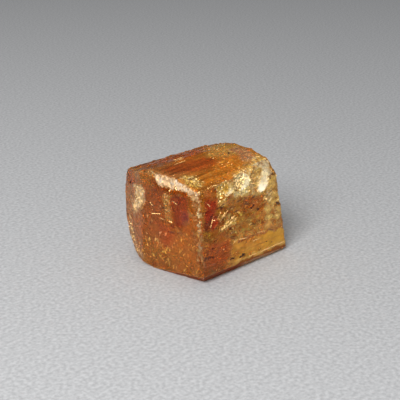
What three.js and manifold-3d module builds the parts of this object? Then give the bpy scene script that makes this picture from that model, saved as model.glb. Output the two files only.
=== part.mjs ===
// A rough topaz crystal: one natural solid, a stout rhombic prism that lies on a prism face.
// Its c axis runs along +X, from the flat cleavage end to the worn, broken termination.
// Lengths are in millimetres, angles in degrees, and +Z is up.
// The crystal is cut from a blank, face by face, round its own middle at the origin.
// It is then set down on its rest face.
import * as THREE from "three";
import { mergeVertices } from "three/addons/utils/BufferGeometryUtils.js";
import Module from "manifold-3d";

// Driving dimensions: how far each main face stands from the middle of the crystal
const REST = 5.6;
const TOP = 5.75;
const FRONT = 6.1;
const BACK = 6.35;
const CLEAVAGE = 7.1;
const TERMINATION = 6.25;

const LEDGE_DEPTH = 0.08; // a growth ledge on a prism face
const TERRACE_DEPTH = 0.15; // a cleavage step on the termination
const STRIATIONS_PER_FACE = 14;
const PITS_PER_FACE = 10;

const CHIP_DETAIL = 1; // how finely the round tool of a small chip is faceted
const SCAR_DETAIL = 4; // and that of a large scar
const HOLLOW_THICKNESS = 0.36; // how thick the ball that cuts a hollow is, in lengths of the hollow
const LUMPS = 11; // how many times an uneven ball swells and shrinks, in radians over its width
const LUMP_HEIGHT = 0.04; // and by what share of its width
const BLANK = 40; // edge of the blank, and of the blocks that cut it

// Each face has three numbers. roll turns it about the c axis, from 0 at the top to 90 at the front.
// lean tips it towards the termination, and out is its distance from the crystal's middle.
const faces = {
  // The prism, parallel to the c axis but for a slight taper
  rest: { roll: 180, lean: 0, out: REST },
  frontFoot: { roll: 128, lean: -2, out: 8.1 },
  front: { roll: 85, lean: -0.5, out: FRONT },
  topFrontEdge: { roll: 44, lean: -2, out: 7.6 },
  topFront: { roll: 10, lean: -2.5, out: TOP + 0.2 },
  top: { roll: 1, lean: -2, out: TOP },
  topBack: { roll: -14, lean: -0.5, out: TOP + 0.05 },
  upperBack: { roll: -73, lean: 6, out: 6.15 }, // narrow at the cleavage, wide at the termination
  back: { roll: -94, lean: 0.5, out: BACK },
  lowerBack: { roll: -106, lean: 0.5, out: BACK - 0.05 },
  backFootUpper: { roll: -135, lean: 1, out: 6.15 },
  backFoot: { roll: -154, lean: 0, out: 6.1 },
  backFootLower: { roll: -171, lean: -0.5, out: 5.65 },
  // The perfect basal cleavage, and the bevels worn round it
  cleavage: { roll: 90, lean: -85.5, out: CLEAVAGE },
  cleavageBack: { roll: -91, lean: -71.5, out: 7.65 },
  cleavageTop: { roll: 11, lean: -66, out: 8.25 },
  cleavageFront: { roll: 81, lean: -75, out: 7.85 },
  cleavageFoot: { roll: 169, lean: -43.5, out: 8.8 },
  // The broken termination, and the planes that take off its corners
  break: { roll: 16, lean: 81, out: TERMINATION },
  breakFront: { roll: 32, lean: 73.5, out: 7.1 },
  breakShoulder: { roll: 55, lean: 45, out: 8.75 },
  breakBack: { roll: -61, lean: 56, out: 7.6 },
  breakFoot: { roll: 180, lean: 48, out: 9 },
};

// A smooth facet on the top front edge, from one place along the c axis to the termination
const shoulder = { roll: 52, lean: 0, out: 6.95 };
const SHOULDER_START = 2.4;

// Growth ledges: a thin layer is missing from a face, on one side of a line along the c axis.
// line is where that line runs across the face, and side says which side of it is missing.
const growthLedges = [
  { face: faces.front, line: -4.05, side: -1 },
  { face: faces.front, line: 3.4, side: 1 },
  { face: faces.topFront, line: -2.5, side: -1 },
  { face: faces.topBack, line: 1.2, side: 1 },
  { face: faces.upperBack, line: 1.1, side: 1 },
  { face: faces.upperBack, line: -3.1, side: -1 },
  { face: faces.lowerBack, line: 2.4, side: 1 },
];

// Terraces of basal cleavage across the break, by the height at which each one starts
const terraceHeights = [-3.4, -1.7, 0.15, 1.6, 3.1];

// Large scars of shell-like fracture, each across the edge between two faces.
// along is how far along the edge its middle is, and depth is how far it cuts below the edge.
const scars = [
  { edge: [faces.front, faces.topFront], along: 1.7, length: 4.4, width: 3.2, depth: 0.55 },
  { edge: [faces.cleavage, faces.cleavageBack], along: 2.4, length: 4.6, width: 3.4, depth: 0.2 },
  { edge: [faces.cleavageTop, faces.cleavage], along: -1.3, length: 5.2, width: 1.9, depth: 0.16 },
  { edge: [faces.break, faces.breakBack], along: -1, length: 5.6, width: 3.6, depth: 0.5 },
  { edge: [faces.back, faces.breakBack], along: -2.2, length: 3.8, width: 2.2, depth: 0.4 },
];

// Shell-like hollows in a face, below its upper edge. Each one starts flat and ends in a steep, curved wall
// on the termination's side. along and across place its middle, and tilt is how far its floor dives.
const hollows = [
  { face: faces.front, along: -3.4, across: 3.6, length: 4.2, width: 2.5, depth: 0.35, tilt: 14 },
  { face: faces.front, along: -0.6, across: 4.1, length: 4.4, width: 2.9, depth: 0.55, tilt: 17 },
  { face: faces.front, along: 2.3, across: 3.5, length: 4.4, width: 3.5, depth: 0.75, tilt: 18 },
];

// Worn edges: small chips scattered along an edge between two faces, from one end to the other
const wornEdges = [
  { edge: [faces.cleavage, faces.cleavageTop], from: -4.6, to: 3.6, chips: 9, size: 1.3 },
  { edge: [faces.cleavageTop, faces.topFront], from: -5.4, to: -1.7, chips: 5, size: 1.1 },
  { edge: [faces.cleavageTop, faces.top], from: -1.6, to: 1.6, chips: 4, size: 1 },
  { edge: [faces.cleavage, faces.cleavageFront], from: -4.6, to: 4, chips: 8, size: 0.8 },
  { edge: [faces.cleavageFront, faces.front], from: -5, to: 4.4, chips: 8, size: 0.6 },
  { edge: [faces.cleavage, faces.cleavageBack], from: -4, to: 4.2, chips: 7, size: 1 },
  { edge: [faces.cleavageBack, faces.back], from: -1.6, to: 3, chips: 4, size: 0.9 },
  { edge: [faces.cleavageBack, faces.lowerBack], from: -3, to: -1.8, chips: 2, size: 0.9 },
  { edge: [faces.cleavage, faces.backFootUpper], from: -5.4, to: -3.4, chips: 3, size: 0.9 },
  { edge: [faces.cleavage, faces.backFoot], from: 1.6, to: 4.4, chips: 3, size: 0.8 },
  { edge: [faces.cleavage, faces.cleavageFoot], from: -5, to: 2, chips: 6, size: 0.6 },
  { edge: [faces.frontFoot, faces.front], from: -6.4, to: 6.4, chips: 9, size: 0.6 },
  { edge: [faces.front, faces.topFront], from: -6, to: 0, chips: 6, size: 0.8 },
  { edge: [faces.front, shoulder], from: 2.8, to: 5, chips: 3, size: 0.8 },
  { edge: [faces.topBack, faces.upperBack], from: -6, to: 5, chips: 7, size: 0.8 },
  { edge: [faces.break, faces.front], from: -4.8, to: 2.6, chips: 6, size: 0.9 },
  { edge: [faces.break, faces.topFront], from: -3.8, to: -1.6, chips: 3, size: 1 },
  { edge: [faces.break, faces.top], from: -1.2, to: 1.4, chips: 3, size: 1.1 },
  { edge: [faces.break, faces.topBack], from: 1.8, to: 4.2, chips: 3, size: 1.1 },
  { edge: [faces.breakBack, faces.lowerBack], from: -4, to: -1, chips: 3, size: 1 },
];

const wasm = await Module();
wasm.setup();

// Repeatable numbers from 0 to 1, so that every build gives the same crystal
let seed = 20;
function chance() {
  seed = (seed * 16807) % 2147483647;
  return seed / 2147483647;
}

const between = (low, high) => low + (high - low) * chance();
const radians = THREE.MathUtils.degToRad;

// A closed three.js geometry as a solid that can be joined and cut
function solidOf(geometry) {
  geometry.deleteAttribute("normal");
  geometry.deleteAttribute("uv");
  const merged = mergeVertices(geometry, 1e-5);
  return new wasm.Manifold(
    new wasm.Mesh({
      numProp: 3,
      vertProperties: merged.attributes.position.array,
      triVerts: new Uint32Array(merged.index.array),
    }),
  );
}

// The axes of a face: along the c axis, across it, and straight out of it
function faceAxes({ roll, lean }) {
  const outward = new THREE.Vector3(
    Math.sin(radians(lean)),
    -Math.sin(radians(roll)) * Math.cos(radians(lean)),
    Math.cos(radians(roll)) * Math.cos(radians(lean)),
  );
  const across = new THREE.Vector3(0, Math.cos(radians(roll)), Math.sin(radians(roll)));
  const along = new THREE.Vector3().crossVectors(across, outward);
  return { along, across, outward };
}

// Puts a geometry on a face: its X runs along the c axis, its Y across it and its Z outwards.
function onFace(geometry, face, along, across, out) {
  const axes = faceAxes(face);
  geometry.translate(along, across, face.out + out);
  geometry.applyMatrix4(new THREE.Matrix4().makeBasis(axes.along, axes.across, axes.outward));
  return solidOf(geometry);
}

const block = () => new THREE.BoxGeometry(BLANK, BLANK, BLANK);

// All that lies outside a face
const outsideOf = (face) => onFace(block(), face, 0, 0, BLANK / 2);

// The layer that a growth ledge lacks
function missingLayer({ face, line, side }) {
  return onFace(block(), face, 0, line + (side * BLANK) / 2, BLANK / 2 - LEDGE_DEPTH);
}

// A cleavage step: everything above one height and beyond one plane across the c axis
function terrace(height) {
  const { outward } = faceAxes(faces.break);
  const reach = (faces.break.out - outward.z * height) / outward.x - TERRACE_DEPTH;
  const step = block();
  step.translate(BLANK / 2, 0, BLANK / 2);
  step.rotateX(radians(between(-9, 9)));
  step.rotateZ(radians(between(-3, 3)));
  step.translate(reach, 0, height);
  return solidOf(step);
}

// Striations: fine grooves along the c axis that fade out at both ends
function striationsOn(face, halfLength, halfWidth) {
  return Array.from({ length: STRIATIONS_PER_FACE }, (_, i) => {
    const groove = new THREE.OctahedronGeometry(1, 0);
    groove.scale(between(1.6, 4.2), between(0.06, 0.16), between(0.03, 0.06));
    const across = halfWidth * ((2 * (i + chance())) / STRIATIONS_PER_FACE - 1);
    return onFace(groove, face, between(-halfLength, halfLength), across, 0);
  });
}

// Etch pits: four-sided hollows that point into a face
function etchPitsOn(face, halfLength, halfWidth) {
  return Array.from({ length: PITS_PER_FACE }, () => {
    const size = between(0.12, 0.3);
    const pit = new THREE.OctahedronGeometry(1, 0);
    pit.scale(size * 1.4, size, size * 0.45);
    return onFace(pit, face, between(-halfLength, halfLength), between(-halfWidth, halfWidth), 0);
  });
}

// Shell-like fracture across an edge: a shallow scoop, set along the edge where two faces meet
function scoop({ edge: [one, other], along, length, width, depth }, detail) {
  const a = faceAxes(one).outward;
  const b = faceAxes(other).outward;
  const edgeward = new THREE.Vector3().crossVectors(a, b).normalize();
  if (edgeward.x + edgeward.y + edgeward.z < 0) edgeward.negate();
  const outward = a.clone().add(b).normalize();
  const sideways = new THREE.Vector3().crossVectors(outward, edgeward);

  // Where both faces keep their distance from the middle of the crystal
  const overlap = a.dot(b);
  const spread = 1 - overlap * overlap;
  const thickness = Math.max(width * 0.6, depth * 3);
  const centre = a
    .multiplyScalar((one.out - overlap * other.out) / spread)
    .addScaledVector(b, (other.out - overlap * one.out) / spread)
    .addScaledVector(edgeward, along)
    .addScaledVector(outward, thickness / 2 - depth);

  const shape = new THREE.IcosahedronGeometry(0.5, detail);
  shape.rotateX(between(0, Math.PI));
  shape.scale(length, width, thickness);
  shape.applyMatrix4(new THREE.Matrix4().makeBasis(edgeward, sideways, outward));
  shape.translate(centre.x, centre.y, centre.z);
  return solidOf(shape);
}

// A shell-like hollow in a face
function hollow({ face, along, across, length, width, depth, tilt }) {
  const thickness = length * HOLLOW_THICKNESS;
  const shape = new THREE.IcosahedronGeometry(0.5, SCAR_DETAIL);
  unsettle(shape);
  shape.scale(length, width, thickness);
  shape.rotateY(radians(tilt));
  const reach = Math.hypot(length * Math.sin(radians(tilt)), thickness * Math.cos(radians(tilt))) / 2;
  return onFace(shape, face, along, across, reach - depth);
}

// Makes a ball a little uneven, so that what it cuts has a wandering rim
function unsettle(ball) {
  const turn = between(0, Math.PI);
  const place = ball.attributes.position;
  const point = new THREE.Vector3();
  for (let i = 0; i < place.count; i += 1) {
    point.fromBufferAttribute(place, i);
    const lumps = Math.sin(LUMPS * point.x + turn) + Math.sin(LUMPS * point.y - turn) + Math.sin(LUMPS * point.z);
    point.multiplyScalar(1 + LUMP_HEIGHT * lumps);
    place.setXYZ(i, point.x, point.y, point.z);
  }
}

// The chips along one worn edge
function chipsOn({ edge, from, to, chips, size }) {
  return Array.from({ length: chips }, (_, i) =>
    scoop({
      edge,
      along: from + ((to - from) * (i + chance())) / chips,
      length: size * between(0.9, 1.8),
      width: size * between(0.7, 1.1),
      depth: size * between(0.06, 0.13),
    }, CHIP_DETAIL),
  );
}

function crystalSolid() {
  const cuts = [
    ...Object.values(faces).map(outsideOf),
    onFace(block(), shoulder, SHOULDER_START + BLANK / 2, 0, BLANK / 2),
    ...growthLedges.map(missingLayer),
    ...terraceHeights.map(terrace),
    ...scars.map((scar) => scoop(scar, SCAR_DETAIL)),
    ...hollows.map(hollow),
    ...wornEdges.flatMap(chipsOn),
    ...striationsOn(faces.front, 5, 4.6),
    ...striationsOn(faces.topFront, 5, 1.9),
    ...striationsOn(faces.top, 5, 1.6),
    ...striationsOn(faces.topBack, 5, 2.2),
    ...striationsOn(faces.upperBack, 5, 3.4),
    ...striationsOn(faces.back, 5, 2.4),
    ...striationsOn(faces.lowerBack, 5, 1.3),
    ...etchPitsOn(faces.upperBack, 5, 3),
    ...etchPitsOn(faces.break, 3.6, 4.2),
  ];
  return cuts.reduce((solid, cut) => solid.subtract(cut), solidOf(block()));
}

function geometryOf(solid) {
  const { numProp, vertProperties, triVerts } = solid.getMesh();
  if (numProp !== 3) throw new Error("a solid holds more than positions");
  const geometry = new THREE.BufferGeometry();
  geometry.setAttribute("position", new THREE.BufferAttribute(vertProperties, 3));
  geometry.setIndex(new THREE.BufferAttribute(triVerts, 1));
  geometry.computeVertexNormals();
  return geometry;
}

const crystal = new THREE.Mesh(
  geometryOf(crystalSolid()),
  new THREE.MeshStandardMaterial({ color: 0xb06a2c, roughness: 0.25, metalness: 0 }),
);
crystal.name = "crystal";

// The part's origin is the middle of its footprint, on the surface that it rests on.
const extent = new THREE.Box3().setFromObject(crystal);
const middle = extent.getCenter(new THREE.Vector3());
crystal.position.set(-middle.x, -middle.y, -extent.min.z);

const part = new THREE.Group();
part.add(crystal);

export default part;
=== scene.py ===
"""Topaz crystal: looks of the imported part. Everything is in metres in the part's own frame, with +Z up."""
import math
import random

import bpy
import numpy as np
from mathutils import Matrix, Vector, noise
from mathutils.bvhtree import BVHTree


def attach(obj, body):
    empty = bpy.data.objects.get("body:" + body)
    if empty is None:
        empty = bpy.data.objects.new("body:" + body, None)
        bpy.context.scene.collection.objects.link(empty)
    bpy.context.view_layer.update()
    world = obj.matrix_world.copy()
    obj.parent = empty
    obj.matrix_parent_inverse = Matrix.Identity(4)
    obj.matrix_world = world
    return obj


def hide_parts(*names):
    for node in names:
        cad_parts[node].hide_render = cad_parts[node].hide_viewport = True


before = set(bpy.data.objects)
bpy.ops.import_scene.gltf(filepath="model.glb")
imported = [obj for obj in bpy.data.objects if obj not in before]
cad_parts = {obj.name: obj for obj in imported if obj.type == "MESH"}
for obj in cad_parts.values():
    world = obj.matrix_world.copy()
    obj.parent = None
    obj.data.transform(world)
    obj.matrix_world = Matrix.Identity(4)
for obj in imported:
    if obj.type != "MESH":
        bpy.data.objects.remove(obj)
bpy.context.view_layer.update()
cad_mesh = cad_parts["crystal"].data
cad_skin = BVHTree.FromPolygons([point.co for point in cad_mesh.vertices],
                                [face.vertices for face in cad_mesh.polygons])

MM = 0.001
UP = Vector((0, 0, 1))
LENGTHWISE = Vector((1, 0, 0))

# Camera
CAMERA_AT = Vector((-77.32, -72.83, 47.80)) * MM
CAMERA_TURN = math.radians(-46.5)
CAMERA_HEIGHT = math.radians(21.4)
CAMERA_ROLL = math.radians(0.4)
LENS_LENGTH = 91.8
SENSOR_WIDTH = 36.0
NEAREST_SEEN = 1 * MM
FARTHEST_SEEN = 10.0

# Softboxes: place and side in metres, and power in watts
KEY_AT = Vector((-0.19, -0.08, 0.175))
KEY_SIZE = 0.13
KEY_POWER = 0.59
TOP_AT = Vector((0.05, 0.07, 0.30))
TOP_SIZE = 0.06
TOP_POWER = 0.052

# Studio: its colour, the light of its walls and its ceiling, and the span of heights between them
STUDIO_COLOUR = (0.96, 0.98, 1.0)
WALL_LIGHT = 0.097
CEILING_LIGHT = 0.31
WALL_SPAN = (-0.1, 1.0)
# It is darker behind the stone: which way that is, how nearly a place lies that way where it starts to darken
# and where it is darkest, and the share of the light that is left there
BEHIND = (0.72, 0.69, 0.0)
BEHIND_SPAN = (0.3, 0.85)
BEHIND_SHARE = 0.3

# Grey paper that the stone lies on, with the span of its fibres' noise that goes from dark to light
FLOOR_SIZE = 3.0
FLOOR_GAP = 0.03 * MM
PAPER_FIBRES = 2.6 / MM
PAPER_DARK = (0.50, 0.50, 0.505)
PAPER_LIGHT = (0.66, 0.66, 0.665)
PAPER_SPAN = (0.3, 0.7)
PAPER_ROUGHNESS = 0.9
PAPER_SHEEN = 0.2

# Skin of the stone: how near points are that merge, how fine its mesh is, and the angle that stays sharp
WELD = 0.0005 * MM
SKIN_STEP = 0.1 * MM
CREASE = math.radians(25)

# Clear topaz: its refractive index, the tint of its reflections, and what its depth takes from light
TOPAZ_IOR = 1.62
WARM = (1.0, 0.68, 0.38)
DEPTH_COLOUR = (0.99, 0.90, 0.0)
DEPTH_DENSITY = 400.0

# Streaks of colour in it: waves in a metre along each axis, detail, roughness, and the span of noise that
# takes the shades
STREAK_WAVES = (0.14 / MM, 2.0 / MM, 2.0 / MM)
STREAK_DETAIL = 4
STREAK_ROUGHNESS = 0.6
STREAK_SPAN = (0.35, 0.65)
STREAK_SHADES = (0.55, 1.25)

# Grains of its frosting: how many in a metre, how soon frost brings them and the span of their lots, how far
# each one leans, their shades, and the lots that are pale, which paint glints, and how pale
FROST_GRAINS = 4.0 / MM
FROST_SHARE = 1.7
GRAIN_LOTS = (-0.9, 0.05)
FACET_LEAN = 0.7
GRAIN_SHADES = (0.65, 1.25)
GLINTING_LOTS = (0.55, 1.0)
GLINT_PALENESS = 0.4

# Finish of its skin where it is clear, frosted and thickly milky, and the light that covered places let pass
CLEAR_ROUGHNESS = 0.05
FROSTED_ROUGHNESS = 0.30
MILKY_ROUGHNESS = 0.7
THICK_MILK = (0.7, 0.9)
COVERED_TRANSMISSION = 0.12

# Colours painted on the stone, linear
HONEY = (1.0, 0.76, 0.34)
BROWN = (1.0, 0.64, 0.40)
GOLD = (1.0, 0.70, 0.29)
ORANGE = (1.0, 0.66, 0.22)
RUST = (0.86, 0.48, 0.20)
RED = (0.72, 0.035, 0.008)
PLUM = (0.60, 0.15, 0.16)
OLIVE = (0.92, 0.78, 0.22)
TAN = (0.78, 0.54, 0.28)
BUFF = (0.95, 0.65, 0.32)
CREAM = (0.83, 0.57, 0.34)
PALE = (1.0, 0.86, 0.52)
AMBER = (1.0, 0.58, 0.17)
MARIGOLD = (1.0, 0.42, 0.05)
SIENNA = (0.88, 0.26, 0.04)
BRICK = (0.72, 0.19, 0.04)
UMBER = (0.80, 0.36, 0.12)
SEPIA = (0.26, 0.09, 0.03)
COPPER = (1.0, 0.58, 0.24)
MAROON = (0.24, 0.05, 0.05)
STRAW = (1.0, 0.68, 0.20)
GLOW = (1.0, 0.58, 0.08)
EMBER = (1.0, 0.34, 0.09)
FLAX = (1.0, 0.80, 0.40)
IVORY = (1.0, 0.88, 0.56)
# painted highlight: the cream of the crescent where the scar's wall mirrors the key light
CRESCENT_HIGHLIGHT = (1.0, 0.97, 0.76)
ROSE = (0.80, 0.32, 0.24)
ROAN = (0.86, 0.50, 0.27)
# painted shade along the front's lowest edge
FOOT_SHADE_BROWN = (0.36, 0.13, 0.03)
DUN = (0.62, 0.40, 0.18)
OXBLOOD = (0.30, 0.055, 0.012)

# Colours of what lies in the stone, linear
HEALED_CRACK = (1.0, 0.93, 0.72)
BRIGHT_CHIP = (0.9, 0.64, 0.30)
DULL_CHIP = (0.43, 0.27, 0.115)
RUSTY_FILM = (0.30, 0.06, 0.015)
IRON_OXIDE = (0.07, 0.02, 0.008)

# Noises of the paint: stretch, waves in a mm and seed. A stretch below 1 makes waves longer along that axis.
EVEN = (1, 1, 1)
RUST_CLOUDS = ((0.5, 1, 1), 0.45, 31)
FROST_HAZE = (EVEN, 0.9, 41)
MILK_HAZE = ((0.35, 1, 1), 1.2, 51)
FINE = (EVEN, 3.0, 61)
MOTTLE = ((0.55, 1, 1), 1.6, 71)
FINE_MOTTLE = ((0.7, 1, 1), 4.0, 81)
# An outline's wandering, coarse and fine: waves in a mm, reach in mm, and seeds of both directions
WANDERINGS = ((1.3, 0.30, (3, 8)), (4.0, 0.22, (13, 18)))

# Ground of the paint: the most rust, how much the fine noise shades it, and the most frost and milk
MOST_RUST = 0.8
GROUND_SHADING = 0.25
GROUND_FROST = 0.15
GROUND_MILK = 0.25

# Mottling: its strength, the share of its fine noise, how much of it each channel of the colour and the milk
# take, what is left of it where it lightens and at the foot, and the heights in mm where the foot ends
MOTTLING = 0.42
FINE_MOTTLE_SHARE = 0.6
MOTTLE_COLOUR = (0.7, 0.95, 1.0)
MOTTLE_MILK = 1.2
LIGHT_MOTTLE_SHARE = 0.4
FOOT_MOTTLING = 0.4
FOOT_END = (2.8, 4.2)

# Worn edges, paler from wearing and from a painted edge highlight: how far they stand out in mm where this
# starts and where it is full, the heights in mm between which it starts above the foot, and what it brings
# when full
WORN_BULGE = (0.004, 0.012)
WORN_HEIGHTS = (0.5, 1.2)
WORN_PALENESS_AND_HIGHLIGHT = 0.5
WORN_FROST = 0.42
WORN_MILK = 0.24

# Streaks of colour, which are strong on the top: their strength elsewhere, the share that they lose towards
# the broken end, and the places along the stone in mm between which they lose it
STREAKS_ELSEWHERE = 0.15
STREAKS_LOST = 0.7
STREAKS_END = (-1.0, 3.0)

# How the skin faces along an axis where a zone of it starts and where that zone is full
CLEAVED = (-0.5, -0.8)
BROKEN = (0.4, 0.7)
PRISM = (0.25, 0.1)
BACKWARD = (0.3, 0.6)
NOT_CLEAVED = (-0.3, -0.1)
UPWARD = (0.6, 0.9)
NOT_UPWARD = (0.8, 0.5)
# How gently a side's patches fade where the skin turns away from that side
SIDE_FADE = 0.12

# Relief of the skin: name, texture, grain in mm, how much longer it is along each axis, height in mm, the
# zone of the skin that it covers, and the texture's own settings
RELIEFS = (
    ("striations", "CLOUDS", 0.5, (14, 1, 1), 0.03, "prism", {"noise_depth": 1}),
    ("sway", "CLOUDS", 2.4, (1.5, 1, 1), 0.10, "all", {"noise_depth": 1}),
    ("hackle", "CLOUDS", 2.0, (1, 1, 1), 0.20, "broken", {"noise_depth": 1}),
    ("etching", "VORONOI", 2.2, (1.6, 1, 1), 0.25, "etched", {}),
    ("frost lumps", "CLOUDS", 0.5, (1, 1, 1), 0.26, "frosted", {"noise_depth": 2}),
    ("frost grain", "CLOUDS", 0.2, (1, 1, 1), 0.07, "frosted",
     {"noise_depth": 0, "noise_type": "HARD_NOISE"}),
)
WEIGHT_STEPS = 20

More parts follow.
